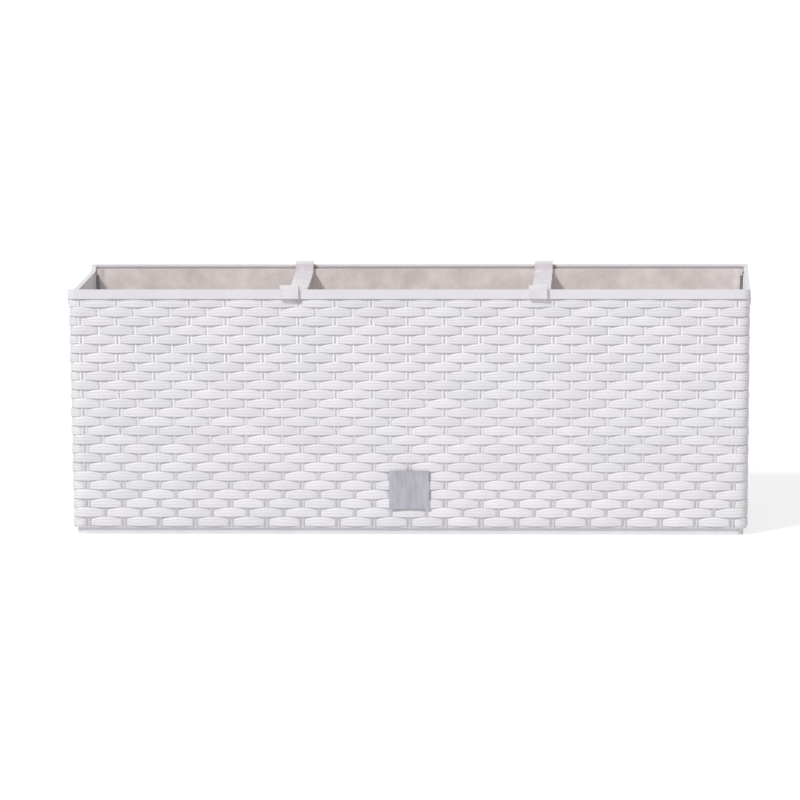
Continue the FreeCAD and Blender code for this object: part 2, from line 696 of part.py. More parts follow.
# ---------------------------------------------------------------- badge
def make_badge():
    """Blank plate and its adhesive, flat on the casing's pad, which the plate covers."""
    layers = (("badge_adhesive", "badge_seat", "badge_margin", "badge_tape"),
              ("badge_plate", "badge_seat + badge_tape", "0 * badge_margin", "badge_thickness"))
    for name, back, margin, thickness in layers:
        body = new_body(name)
        face = new_sketch(body, "PlateFace", "XZ_Plane", back)
        half = f"badge_width / 2 - {margin}"
        box_outline(face, f"-({half})", half, f"badge_rise - badge_height / 2 + {margin}",
                    f"badge_rise + badge_height / 2 - {margin}")
        add(body, "Plate", face, thickness)


# ---------------------------------------------------------------- rim ties
def make_tie(name, x):
    """Strap hooked over both long rims, sagging between them."""
    body = new_body(name, x=x)
    side = new_sketch(body, "TieSide", "YZ_Plane")
    top, lip = "height + tie_top", "height - tie_lip"
    upper_rise = "tie_floor - tie_middle"
    lower_floor, lower_rise = "tie_floor - tie_thickness", "tie_floor - tie_middle"
    upper_arc = f"((tie_inner_face)^2 + ({upper_rise})^2) / (2 * ({upper_rise}))"
    lower_arc = f"((tie_inner)^2 + ({lower_rise})^2) / (2 * ({lower_rise}))"
    outline(side, [
        ("-(tie_inner)", lower_floor, lower_arc), ("tie_inner", lower_floor),
        ("tie_inner", "height + tie_gap"), ("tie_outer", "height + tie_gap"), ("tie_outer", lip),
        ("tie_outer + tie_thickness", lip), ("tie_outer + tie_thickness", top),
        ("tie_inner_face", top), ("tie_inner_face", "tie_floor", upper_arc),
        ("-(tie_inner_face)", "tie_floor"), ("-(tie_inner_face)", top),
        ("-(tie_outer + tie_thickness)", top), ("-(tie_outer + tie_thickness)", lip),
        ("-(tie_outer)", lip), ("-(tie_outer)", "height + tie_gap"), ("-(tie_inner)", "height + tie_gap"),
    ])
    add(body, "Strap", side, "tie_width", both_ways=True)
    crown = value(top)
    round_edges(body, "Bends", "tie_bend",
                lambda start, end: abs(start.z - crown) < 0.001 and abs(start.x - end.x) > 1
                and abs(end.z - crown) < 0.001)


# ---------------------------------------------------------------- build, check and write
def main():
    make_casing()
    make_liner()
    for name, x in (("soil_cup_left", "-cup_pitch"), ("soil_cup_centre", "0"),
                    ("soil_cup_right", "cup_pitch")):
        make_soil_cup(name, x)
    make_fill_tube()
    make_fill_collar()
    make_fill_cap()
    make_fill_cap_pin()
    make_indicator()
    make_drain()
    make_badge()
    make_tie("tie_clip_left", "-tie_left_x")
    make_tie("tie_clip_right", "tie_right_x")
    doc.recompute()

    broken = [thing.Name for thing in doc.Objects if {"Invalid", "Error"} & set(thing.State)]
    bodies = [thing for thing in doc.Objects if thing.TypeId == "PartDesign::Body"]
    for body in bodies:
        if body.Shape.isNull() or not body.Shape.isValid():
            broken.append(body.Label)
    if broken:
        raise ValueError("These did not build: " + ", ".join(broken))
    os.makedirs("parts", exist_ok=True)
    for body in bodies:
        body.Shape.exportStep(os.path.join("parts", body.Label + ".step"))
        print(f"{body.Label}: {body.Shape.Volume / 1000:.2f} cm3, {len(body.Shape.Solids)} solid")


main()
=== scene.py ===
# %% [markdown]
# # A self-watering balcony planter
# The planter is a moulded box with a basket-weave face, a loose liner that
# holds the soil, and a water store below it. The measured model brings every
# part to size. This lesson adds the woven face, the finishes and the studio.

# %% Load the measured model
import random
from math import copysign, cos, pi, radians, sin

import bmesh
import bpy
from mathutils import Matrix, Vector


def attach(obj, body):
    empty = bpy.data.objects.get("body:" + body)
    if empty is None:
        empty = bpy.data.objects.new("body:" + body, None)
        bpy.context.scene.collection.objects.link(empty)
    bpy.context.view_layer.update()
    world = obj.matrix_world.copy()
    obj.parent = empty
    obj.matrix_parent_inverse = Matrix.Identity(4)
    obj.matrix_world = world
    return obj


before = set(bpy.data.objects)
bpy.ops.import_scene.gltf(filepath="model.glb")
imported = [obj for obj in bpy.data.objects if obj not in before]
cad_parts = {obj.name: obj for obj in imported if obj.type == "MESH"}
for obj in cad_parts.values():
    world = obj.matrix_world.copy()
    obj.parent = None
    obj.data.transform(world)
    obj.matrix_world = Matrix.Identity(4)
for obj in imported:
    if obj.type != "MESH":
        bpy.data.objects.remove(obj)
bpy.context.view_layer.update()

MM = 0.001

# %% [markdown]
# ## The camera
# A long lens from about four and a half metres keeps the front nearly free of
# perspective. It stands a little right of the middle and above the rim, and
# looks slightly left and down, so the inside of the far wall shows over the
# near rim.

# %% Camera
LENS_MM = 266.44
EYE = Vector((204.7, -4510.3, 651.2)) * MM
LOOK_LEFT, LOOK_DOWN, ROLL = radians(2.738), radians(7.074), radians(-0.289)

camera = bpy.data.objects.new("camera", bpy.data.cameras.new("camera"))
camera.data.lens = LENS_MM
camera.data.clip_end = 100          # metres, past the far edge of the floor
camera.location = EYE
aim = (Matrix.Rotation(LOOK_LEFT, 3, "Z") @ Matrix.Rotation(pi / 2 - LOOK_DOWN, 3, "X")
       @ Matrix.Rotation(ROLL, 3, "Z"))
camera.rotation_euler = aim.to_euler()
bpy.context.scene.collection.objects.link(camera)
bpy.context.scene.camera = camera
print("camera at", tuple(round(c, 3) for c in EYE), "lens", LENS_MM, "mm")

# %% [markdown]
# ## Colours and nodes
# Colours are written as the hex values a painter would pick on screen. Blender
# works in linear light, so one function turns them over. A second small
# function adds any shader node, sets its options and fills its sockets. A third
# starts a material.

# %% Colour and node helpers
def colour(code):
    """Linear RGBA for an sRGB hex code."""
    parts = [int(code[i:i + 2], 16) / 255 for i in (1, 3, 5)]
    linear = [c / 12.92 if c <= 0.04045 else ((c + 0.055) / 1.055) ** 2.4
              for c in parts]
    return (*linear, 1.0)


def add(tree, kind, inputs=None, **settings):
    """Adds a node; an input is a value, or another node's socket to link."""
    node = tree.nodes.new(kind)
    for key, value in settings.items():
        setattr(node, key, value)
    for key, value in (inputs or {}).items():
        socket = node.inputs[key]
        if isinstance(value, bpy.types.NodeSocket):
            tree.links.new(value, socket)
        else:
            socket.default_value = value
    return node


def start_material(name):
    """A new material holding one shader; returns it, its tree and the shader."""
    made = bpy.data.materials.new(name)
    made.use_nodes = True
    return made, made.node_tree, made.node_tree.nodes["Principled BSDF"]


# nearly all the values of a noise texture lie between these two
NOISE_LOW, NOISE_HIGH = 0.3, 0.7
print("mid grey #808080 is %.3f in linear light" % colour("#808080")[0])

# %% [markdown]
# ## Studio: the dome
# Most of the light comes evenly from all sides, as in a white tent. Rays from
# the camera, and the ones that metal and clear plastic throw, see plain white
# instead, so the background is white without more light on the planter.

# %% Dome
DOME_STRENGTH = 0.50


def seen_directly(tree):
    """1 for camera, mirror and see-through rays, 0 for rays that only light things."""
    path = add(tree, "ShaderNodeLightPath")
    first = add(tree, "ShaderNodeMath", {0: path.outputs["Is Camera Ray"],
                1: path.outputs["Is Glossy Ray"]}, operation="MAXIMUM")
    both = add(tree, "ShaderNodeMath", {0: first.outputs[0],
               1: path.outputs["Is Transmission Ray"]}, operation="MAXIMUM")
    return both.outputs[0]


world = bpy.data.worlds.new("shop_dome")
world.use_nodes = True
bpy.context.scene.world = world
sky = world.node_tree
sky.nodes.clear()
dome = add(sky, "ShaderNodeBackground", {"Color": colour("#FFFFFF"),
                                         "Strength": DOME_STRENGTH})
white = add(sky, "ShaderNodeBackground", {"Color": colour("#FFFFFF"), "Strength": 1.0})
choice = add(sky, "ShaderNodeMixShader", {0: seen_directly(sky),
             1: dome.outputs[0], 2: white.outputs[0]})
add(sky, "ShaderNodeOutputWorld", {"Surface": choice.outputs[0]})
print("dome strength", DOME_STRENGTH)

# %% [markdown]
# ## Studio: the lamp
# One large lamp stands high on the left in front. It lights the upper side of
# every strip and leaves a soft shade below, so the weave reads as relief. A sun
# lamp does this evenly along the whole front; its angle sets how soft it is.

# %% Lamp
KEY_STRENGTH = 2.0
KEY_SOFTNESS = radians(9)
KEY_TILT, KEY_TURN = radians(48), radians(-38)

key = bpy.data.objects.new("key_lamp", bpy.data.lights.new("key_lamp", "SUN"))
key.data.energy = KEY_STRENGTH
key.data.angle = KEY_SOFTNESS
key.rotation_euler = (KEY_TILT, 0, KEY_TURN)
bpy.context.scene.collection.objects.link(key)
print("lamp strength", KEY_STRENGTH)

# %% [markdown]
# ## Studio: the floor
# The planter stands on a wide sheet of pale paper. Seen directly, the paper
# glows almost to white and takes only a little light, so the planter keeps a
# faint shadow. To everything else it is plain paper that throws light back up.

# %% Floor
FLOOR_GLOW = 0.72
FLOOR_SIZE = 60.0

floor_bm = bmesh.new()
bmesh.ops.create_grid(floor_bm, x_segments=1, y_segments=1, size=FLOOR_SIZE / 2)
floor_mesh = bpy.data.meshes.new("floor")
floor_bm.to_mesh(floor_mesh)
floor_bm.free()
floor = bpy.data.objects.new("floor", floor_mesh)
bpy.context.scene.collection.objects.link(floor)

paper, tree, shader = start_material("studio_paper")
tree.nodes.remove(shader)
matt = add(tree, "ShaderNodeBsdfDiffuse", {"Color": colour("#A0A0A0")})
glow = add(tree, "ShaderNodeEmission", {"Color": colour("#FFFFFF"),
                                        "Strength": FLOOR_GLOW})
shown = add(tree, "ShaderNodeAddShader", {0: matt.outputs[0], 1: glow.outputs[0]})
bounce = add(tree, "ShaderNodeBsdfDiffuse", {"Color": colour("#EDEDED")})
both = add(tree, "ShaderNodeMixShader", {0: seen_directly(tree),
           1: bounce.outputs[0], 2: shown.outputs[0]})
tree.links.new(both.outputs[0], tree.nodes["Material Output"].inputs["Surface"])
floor_mesh.materials.append(paper)

bpy.context.scene.view_settings.view_transform = "Standard"
print("floor", FLOOR_SIZE, "m across")

# %% [markdown]
# ## Moulded plastics
# Nearly every part is injection-moulded polypropylene. Its skin is satin, with
# a soft mottling where the melt cooled unevenly and a fine grain from the
# mould. One function makes the family; each part gets its own colour, sheen
# and mottling. The grain of a real mould is about 0.1 mm; it is drawn at about
# 0.8 mm so that it can show.

# %% Moulded plastic family
PLASTIC_IOR = 1.49              # polypropylene, and near it for the other plastics
PATCH_LOW, PATCH_HIGH = 0.32, 0.68
SHEEN_SWING = 0.05              # roughness strays this far each way with the mottling
GRAIN_DEPTH = 0.2 * MM


def moulded(name, deep, pale, roughness, patch_mm, grain_mm=0.8, grain=0.25, coat=0.0):
    """Satin plastic: colour wanders between two tones, fine grain in the relief."""
    made, tree, shader = start_material(name)
    place = add(tree, "ShaderNodeTexCoord").outputs["Object"]
    patch = add(tree, "ShaderNodeTexNoise", {"Vector": place, "Detail": 4.0,
                "Scale": 1 / (patch_mm * MM), "Roughness": 0.6})
    spread = add(tree, "ShaderNodeMapRange", {"Value": patch.outputs["Fac"],
                 "From Min": PATCH_LOW, "From Max": PATCH_HIGH})
    tone = add(tree, "ShaderNodeMix", {"Factor": spread.outputs["Result"],
               "A": colour(deep), "B": colour(pale)}, data_type="RGBA")
    tree.links.new(tone.outputs["Result"], shader.inputs["Base Color"])
    skin = add(tree, "ShaderNodeTexNoise", {"Vector": place, "Detail": 2.0,
               "Scale": 1 / (grain_mm * MM)})
    bump = add(tree, "ShaderNodeBump", {"Height": skin.outputs["Fac"],
               "Strength": grain, "Distance": GRAIN_DEPTH})
    tree.links.new(bump.outputs["Normal"], shader.inputs["Normal"])
    gloss = add(tree, "ShaderNodeMapRange", {"Value": patch.outputs["Fac"],
                "From Min": NOISE_LOW, "From Max": NOISE_HIGH,
                "To Min": roughness - SHEEN_SWING, "To Max": roughness + SHEEN_SWING})
    tree.links.new(gloss.outputs["Result"], shader.inputs["Roughness"])
    shader.inputs["IOR"].default_value = PLASTIC_IOR
    shader.inputs["Coat Weight"].default_value = coat
    return made


finishes = {
    # white, satin, with a breath of lilac; hardly mottled
    "casing_plastic": moulded("satin_white_polypropylene",
                              "#DEDCE2", "#E5E3E8", 0.42, 60),
    # stone-coloured regrind: warm grey, cloudy, dull
    "liner_plastic": moulded("stone_grey_polypropylene",
                             "#D3CAC8", "#EBE3E1", 0.55, 16, grain=0.4),
    # dark regrind of the hidden soil cups: nearly black, flat
    "cup_plastic": moulded("dark_grey_polypropylene", "#55504F", "#615C5B", 0.6, 10),
    # pipe stock: pale grey, a little dull, even
    "tube_plastic": moulded("pale_grey_pipe_polypropylene",
                            "#D4D2D4", "#E0DEE0", 0.45, 20),
    # the flip cap: harder and shinier than the casing
    "cap_plastic": moulded("gloss_white_abs", "#DDDADF", "#E7E4E9", 0.28, 20, coat=0.2),
    # tough nylon of the ties that hook on the rims: glossy, faintly rosy
    "tie_plastic": moulded("gloss_white_nylon", "#D9D4D9", "#E5E1E6", 0.26, 8,
                           coat=0.25),
    # the float's rod: a warmer white, soft sheen
    "rod_plastic": moulded("rod_white_polypropylene", "#E2E1E0", "#ECEBEA", 0.4, 20),
    # signal red, clean and shiny, to be seen down the tube
    "flag_plastic": moulded("flag_red_polystyrene", "#B3201C", "#CE2F28", 0.3, 15),
    # closed-cell foam: dull, with a beady skin
    "float_foam": moulded("float_polystyrene_foam", "#E8E6DF", "#F2F0EA", 0.8, 3,
                          grain_mm=1.6, grain=0.9),
    # black rubber: matt, swallows light
    "seal_rubber": moulded("black_nitrile_rubber", "#141414", "#222222", 0.7, 6),
    # foam tape: dark grey edge, matt, with open pores
    "badge_tape": moulded("grey_foam_tape", "#5D5D60", "#707074", 0.9, 2,
                          grain_mm=0.6, grain=0.6),
}
print("moulded finishes:", len(finishes))

# %% [markdown]
# ## Brushed aluminium
# The badge is a blank plate of brushed aluminium: fine upright scratches that
# spread the reflection sideways. Noise stretched along Z draws them. Real
# scratches are finer than 0.1 mm; these are drawn some 2.6 mm apart, with finer
# ones in between, so that they show.

# %% Brushed aluminium
SCRATCH_WIDTH, SCRATCH_LENGTH = 2.6 * MM, 16 * MM
plate_metal, tree, shader = start_material("brushed_aluminium_plate")
place = add(tree, "ShaderNodeTexCoord").outputs["Object"]
brush = add(tree, "ShaderNodeMapping", {"Vector": place, "Scale": (
            1 / SCRATCH_WIDTH, 1 / SCRATCH_WIDTH, 1 / SCRATCH_LENGTH)})
scratch = add(tree, "ShaderNodeTexNoise", {"Vector": brush.outputs["Vector"],
              "Scale": 1.0, "Detail": 4.0, "Roughness": 0.62})
stretch = add(tree, "ShaderNodeMapRange", {"Value": scratch.outputs["Fac"],
              "From Min": NOISE_LOW, "From Max": NOISE_HIGH})
tone = add(tree, "ShaderNodeMix", {"Factor": stretch.outputs["Result"],
           "A": colour("#A5A4AD"), "B": colour("#BEBDC6")}, data_type="RGBA")
tree.links.new(tone.outputs["Result"], shader.inputs["Base Color"])
sheen = add(tree, "ShaderNodeMapRange", {"Value": scratch.outputs["Fac"],
            "From Min": NOISE_LOW, "From Max": NOISE_HIGH,
            "To Min": 0.38, "To Max": 0.5})
tree.links.new(sheen.outputs["Result"], shader.inputs["Roughness"])
bump = add(tree, "ShaderNodeBump", {"Height": scratch.outputs["Fac"],
           "Strength": 0.35, "Distance": 0.1 * MM})
tree.links.new(bump.outputs["Normal"], shader.inputs["Normal"])
shader.inputs["Metallic"].default_value = 0.85
finishes["badge_metal"] = plate_metal
print("badge finish:", plate_metal.name)

# %% [markdown]
# ## Drawn steel
# The hinge pin is bright wire, drawn through a die. That leaves lines along it,
# which show as streaks of sharper and duller shine, not as colour.

# %% Drawn steel
LINES_PER_M = (100, 1500, 1500)     # along the pin, and twice across it
wire, tree, shader = start_material("bright_drawn_steel")
place = add(tree, "ShaderNodeTexCoord").outputs["Object"]
draw = add(tree, "ShaderNodeMapping", {"Vector": place, "Scale": LINES_PER_M})
lines = add(tree, "ShaderNodeTexNoise", {"Vector": draw.outputs["Vector"],
            "Scale": 1.0})
sheen = add(tree, "ShaderNodeMapRange", {"Value": lines.outputs["Fac"],
            "To Min": 0.2, "To Max": 0.36})
tree.links.new(sheen.outputs["Result"], shader.inputs["Roughness"])
shader.inputs["Base Color"].default_value = colour("#BDBEC0")
shader.inputs["Metallic"].default_value = 1.0
finishes["pin_steel"] = wire
print("pin finish:", wire.name)

# %% [markdown]
# ## Clear polystyrene
# The gauge tube is see-through, so that the red flag shows. A thin wall of clear
# plastic could be real glass to the light, but part-transparent is steadier and
# lets the light in. Flow marks from the mould make its shine uneven.

# %% Clear polystyrene
FLOW_MARKS_PER_M = 90.0
POLYSTYRENE_IOR = 1.59
clear, tree, shader = start_material("clear_polystyrene")
place = add(tree, "ShaderNodeTexCoord").outputs["Object"]
flow = add(tree, "ShaderNodeTexNoise", {"Vector": place, "Scale": FLOW_MARKS_PER_M,
           "Detail": 2.0})
sheen = add(tree, "ShaderNodeMapRange", {"Value": flow.outputs["Fac"],
            "To Min": 0.04, "To Max": 0.14})
tree.links.new(sheen.outputs["Result"], shader.inputs["Roughness"])
shader.inputs["Base Color"].default_value = colour("#F1F5F6")
shader.inputs["IOR"].default_value = POLYSTYRENE_IOR
shader.inputs["Alpha"].default_value = 0.35
finishes["clear_plastic"] = clear
print("gauge tube finish:", clear.name)

# %% [markdown]
# ## Giving out the finishes
# Each part of the measured model already names the finish it wants in its
# material slots. Putting the new material in the slot leaves its mesh alone.

# %% Finishes on the measured parts
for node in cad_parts.values():
    for slot in node.material_slots:
        slot.material = finishes[slot.material.name.split(".")[0]]
print("finishes on", len(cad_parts), "measured parts")

# %% [markdown]
# ## The woven face: where the stakes stand
# The face copies rattan basket work. Upright stakes stand all the way round,
# and flat strips pass in front of one stake and behind the next, with every
# other row shifted by one stake. The box tapers to its foot, so the stakes
# draw together a little as they go down. A place on the face is said as a
# distance along the wall from its middle, a height, and how proud it stands.

# %% Wall and stake sizes
# half length, half depth and height of the wall's outer face, at its foot and head
WALL_FOOT = Vector((253.9, 92.9, 5.2)) * MM
WALL_HEAD = Vector((255.5, 94.5, 186.0)) * MM
CORNER = 4.5 * MM           # radius of the upright corners
CORNER_LIFT = 0.60 * MM     # keeps the flats of a bent strip clear of the round corner
WEAVE_FOOT, WEAVE_HEAD = 6.0 * MM, 179.2 * MM
ROWS = 25
ROW = (WEAVE_HEAD - WEAVE_FOOT) / ROWS
# for the long and the short wall: stakes, and half the run of them, foot and head
STAKES = {"long": 37, "short": 13}
RUN_FOOT = {"long": 242.8 * MM, "short": 81.8 * MM}
RUN_HEAD = {"long": 247.4 * MM, "short": 86.4 * MM}
ACROSS = {"long": "short", "short": "long"}


def rise(height):
    """0 at the foot of the weave, 1 at its head."""
    return (height - WEAVE_FOOT) / (WEAVE_HEAD - WEAVE_FOOT)


def half_sizes(wall, height):
    """Half the length of this wall and of the one round the corner."""
    part = (height - WALL_FOOT.z) / (WALL_HEAD.z - WALL_FOOT.z)
    half = WALL_FOOT.lerp(WALL_HEAD, part)
    return (half.x, half.y) if wall == "long" else (half.y, half.x)


def on_wall(wall, along, height, proud):
    """Point for a place on the wall; past its end the place turns the corner."""
    own, other = half_sizes(wall, height)
    straight = own - CORNER
    reach = abs(along)
    turn = min(max((reach - straight) / CORNER, 0), pi / 2)
    past = max(reach - straight - CORNER * pi / 2, 0)
    arm = CORNER + proud + CORNER_LIFT * sin(2 * turn)
    return Vector((copysign(arm * sin(turn) + min(reach, straight), along),
                   -(other - CORNER + arm * cos(turn) - past), height))


def stake_place(wall, index, height):
    """Distance of a stake from the wall's middle; past the ends, round the corner."""
    last = STAKES[wall] - 1
    run = RUN_FOOT[wall] + (RUN_HEAD[wall] - RUN_FOOT[wall]) * rise(height)
    if 0 <= index <= last:
        return run * (2 * index / last - 1)
    own, other = half_sizes(wall, height)
    far = RUN_FOOT[ACROSS[wall]] + (RUN_HEAD[ACROSS[wall]]
                                    - RUN_FOOT[ACROSS[wall]]) * rise(height)
    reach = own - CORNER + CORNER * pi / 2 + other - CORNER - far
    return copysign(reach, index)


STAKE_PITCH = 2 * RUN_HEAD["long"] / (STAKES["long"] - 1)
print("row pitch %.2f mm, stake pitch %.2f mm" % (ROW / MM, STAKE_PITCH / MM))

# %% [markdown]
# ## One strip
# A strip is a long lens-shaped swelling on a flat shoulder: full over its own
# stake, and flat where both ends dive behind the next stakes. It could be a box
# with a bevel, but the swelling narrows towards the ends. So it starts as a
# grid, whose inner lines follow the edge of the swelling; then the rim is
# extruded back into the wall and closed. It has only a few dozen faces, because
# over a thousand strips are needed.

# %% Strip
SPANS = 8                           # faces along the strip
# in mm: the upper and the lower edge, over the strip's own stake and at its ends
TOP_MID, TOP_END = 4.10, 1.40
LOW_MID, LOW_END = -3.30, -2.35
SHOULDER, SWELL = 0.10, 1.08        # in mm, how proud at the ends, and how much more
SUNK = -0.35                        # in mm, where the flat back lies, inside the wall
# from the lower edge up: place across the half width, and share of the swelling
PROFILE = ((-1.0, 0.86), (-0.86, 1.0), (-0.35, 1.0),
           (0.3, 0.92), (0.74, 0.66), (1.0, 0.25))
BANDS = len(PROFILE) - 1            # faces across the strip


def arched(side, line):
    """Height and proudness in mm of a strip at side -1..1, on grid line -1..1."""
    top = TOP_MID + (TOP_END - TOP_MID) * side ** 2
    low = LOW_MID + (LOW_END - LOW_MID) * side ** 2
    across, share = PROFILE[round((line + 1) / 2 * BANDS)]
    swell = SWELL * max(cos(side * pi / 2), 0) ** 2
    return (top + low) / 2 + across * (top - low) / 2, SHOULDER + share * swell


strip = bmesh.new()
strip.loops.layers.uv.new("along_strip")
bmesh.ops.create_grid(strip, x_segments=SPANS, y_segments=BANDS, size=1,
                      matrix=Matrix.Rotation(pi / 2, 4, "X"), calc_uvs=True)
for vert in strip.verts:
    height, proud = arched(vert.co.x, vert.co.z)
    vert.co = (vert.co.x, -proud, height)
rim = [edge for edge in strip.edges if edge.is_boundary]
skirt = bmesh.ops.extrude_edge_only(strip, edges=rim)["geom"]
backs = [item for item in skirt if isinstance(item, bmesh.types.BMVert)]
for vert in backs:
    vert.co.y = -SUNK
ring = [edge for edge in strip.edges if edge.is_boundary]
bmesh.ops.edgeloop_fill(strip, edges=ring)
# the flat back is cut across at every grid line, so that it can bend round a corner
for step in range(1, SPANS):
    side = 2 * step / SPANS - 1
    pair = [vert for vert in backs if abs(vert.co.x - side) < 0.5 / SPANS]
    bmesh.ops.connect_verts(strip, verts=pair)
bmesh.ops.recalc_face_normals(strip, faces=strip.faces)
# extrude hands back its parts in no fixed order, so they are put in one, which
# makes every run the same
for place, vert in enumerate(sorted(strip.verts, key=lambda v: tuple(v.co))):
    vert.index = place
strip.verts.sort()
for place, face in enumerate(sorted(strip.faces,
                                    key=lambda f: sorted(v.index for v in f.verts))):
    face.index = place
strip.faces.sort()
# each point will carry its strip's batch, 0 to 1, which the finish reads as a shade
strip.verts.layers.float.new("batch")
strip_mesh = bpy.data.meshes.new("one_strip")
strip.to_mesh(strip_mesh)
print("one strip:", len(strip.faces), "faces")
strip.free()

# %% [markdown]
# ## Bare spots
# The back wall has a drain boss and an overflow hole, which the weave leaves
# free. Cutting the strips with a cylinder would leave ragged slivers. Here each
# point that falls in a bare spot is pushed out to the circle round it instead.

# %% Bare spots
FADE_MM = 1.2                       # bare ring left round a bare spot
# place along the back wall, height and radius
DRAIN_SPOT = (-150 * MM, 17.5 * MM, 14.5 * MM)
OVERFLOW_SPOT = (0, 38.5 * MM, 7.2 * MM)


def bare_edge(along, height, bare_spots):
    """For a place inside a bare spot, the nearest place on its edge."""
    for x, z, radius in bare_spots:
        off = Vector((along - x, height - z))
        reach = radius + FADE_MM * MM
        if off.length < reach:
            off = off.normalized() * reach
            return x + off.x, max(z + off.y, WEAVE_FOOT)
    return None


print("bare spots: radius %.1f and %.1f mm" % (DRAIN_SPOT[2] / MM,
                                               OVERFLOW_SPOT[2] / MM))

# %% [markdown]
# ## Stakes
# Every second stake is a pair of canes and the others are single. Only their
# fronts show, in the gaps between strip ends, so each cane is an eight-sided
# rod sunk in the wall. A cane stops where it meets a bare spot.

# %% Cane
CANE_SIDES = 8
# in mm: the radii, how far each cane of a pair stands from the stake's line, and
# how proud of the wall their fronts are
SINGLE_RADIUS, PAIR_RADIUS, PAIR_GAP = 1.5, 1.1, 1.5
CANE_PROUD = 0.5
# painted light: every cane takes the palest tone, so that it reads as bright as the
# strips, whose faces turned up to the lamp catch more light
CANE_LIGHTENED_BATCH = 1.0                    # canes take the palest shade


def add_cane(bm, wall, index, radius, aside, bare_spots):
    """One upright cane from the foot of the weave to its head, broken at bare spots."""
    ends = [WEAVE_FOOT]
    for x, z, reach in bare_spots:
        off = stake_place(wall, index, z) + aside * MM - x
        if abs(off) < reach:
            half = (reach ** 2 - off ** 2) ** 0.5
            ends += [z - half, z + half]
    ends.append(WEAVE_HEAD)
    for foot, head in zip(ends[::2], ends[1::2]):
        if head <= foot:
            continue
        rod = bmesh.ops.create_cone(bm, cap_ends=True, segments=CANE_SIDES,
                                    radius1=radius, radius2=radius, depth=2)["verts"]
        for vert in rod:
            height = foot if vert.co.z < 0 else head
            along = stake_place(wall, index, height) + (vert.co.x + aside) * MM
            proud = (CANE_PROUD - radius - vert.co.y) * MM
            vert.co = on_wall(wall, along, height, proud)
            # painted light: the canes get the lightened tone
            vert[bm.verts.layers.float["batch"]] = CANE_LIGHTENED_BATCH


print("canes: single %.1f mm thick, paired %.1f mm" % (2 * SINGLE_RADIUS,
                                                       2 * PAIR_RADIUS))

# %% [markdown]
# ## Laying the strips
# Real cane is never quite even, and the mould copies that: each strip is a
# shade higher, fuller or paler than its neighbour. The draws are seeded, so
# the weave is the same each time. Round a bare spot the strips sink into the
# wall along a clean circle, and what would span it is taken away.

# %% Panels
random.seed(37)
# how far a strip may stray: share of its swelling, height, and rise at its end
FULLNESS, SHIFT_MM, SLANT_MM = 0.10, 0.14, 0.22


def lay_panel(name, wall, quarter_turns, odd_row_first, bare_spots=()):
    """All canes and strips of one wall, as one piece."""
    panel = bmesh.new()
    # a strip read in and taken out again leaves the panel its UV and batch layers
    panel.from_mesh(strip_mesh)
    bmesh.ops.delete(panel, geom=panel.verts, context="VERTS")
    batch = panel.verts.layers.float["batch"]
    cleared = set()
    count = 0
    for row in range(ROWS):
        middle = WEAVE_HEAD - (row + 0.5) * ROW
        for index in range(STAKES[wall]):
            if (index + row + odd_row_first) % 2:
                continue
            before = len(panel.verts)
            panel.from_mesh(strip_mesh)
            panel.verts.ensure_lookup_table()
            shade = random.random()
            full = 1 + random.uniform(-FULLNESS, FULLNESS)
            shift = random.uniform(-SHIFT_MM, SHIFT_MM)
            slant = random.uniform(-SLANT_MM, SLANT_MM)
            for vert in panel.verts[before:]:
                side = vert.co.x
                height = middle + (vert.co.z + shift + slant * side) * MM
                here = stake_place(wall, index, height)
                towards = stake_place(wall, index + (1 if side > 0 else -1), height)
                along = here + (towards - here) * abs(side)
                proud = -vert.co.y * MM * (full if vert.co.y < 0 else 1)
                edge = bare_edge(along, height, bare_spots)
                if edge:
                    along, height = edge
                    proud = SUNK * MM
                    cleared.add(vert)
                vert.co = on_wall(wall, along, height, proud)
                vert[batch] = shade
            count += 1
    spanning = [face for face in panel.faces if cleared.issuperset(face.verts)]
    bmesh.ops.delete(panel, geom=spanning, context="FACES")
    for index in range(STAKES[wall]):
        if (index + odd_row_first) % 2:
            add_cane(panel, wall, index, PAIR_RADIUS, -PAIR_GAP, bare_spots)
            add_cane(panel, wall, index, PAIR_RADIUS, PAIR_GAP, bare_spots)
        else:
            add_cane(panel, wall, index, SINGLE_RADIUS, 0, bare_spots)
    bmesh.ops.rotate(panel, verts=panel.verts, cent=(0, 0, 0),
                     matrix=Matrix.Rotation(quarter_turns * pi / 2, 3, "Z"))
    for face in panel.faces:
        face.smooth = len(face.verts) == 4      # the canes' cut ends stay flat
    mesh = bpy.data.meshes.new(name)
    panel.to_mesh(mesh)
    panel.free()
    piece = bpy.data.objects.new(name, mesh)
    bpy.context.scene.collection.objects.link(piece)
    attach(piece, "casing")
    print(name, count, "strips,", len(mesh.polygons), "faces")
    return piece


panels = [
    lay_panel("weave_front", "long", 0, 1),
    lay_panel("weave_right_end", "short", 1, 0),
    lay_panel("weave_back", "long", 2, 1, (DRAIN_SPOT, OVERFLOW_SPOT)),
    lay_panel("weave_left_end", "short", 3, 0),
]

# %% [markdown]
# ## Finish of the weave
# The strips are the same white polypropylene as the casing, but the mould
# carries the look of split cane: about four fine grooves run along each strip,
# and each strip's shade differs a little, some greenish and some lilac.

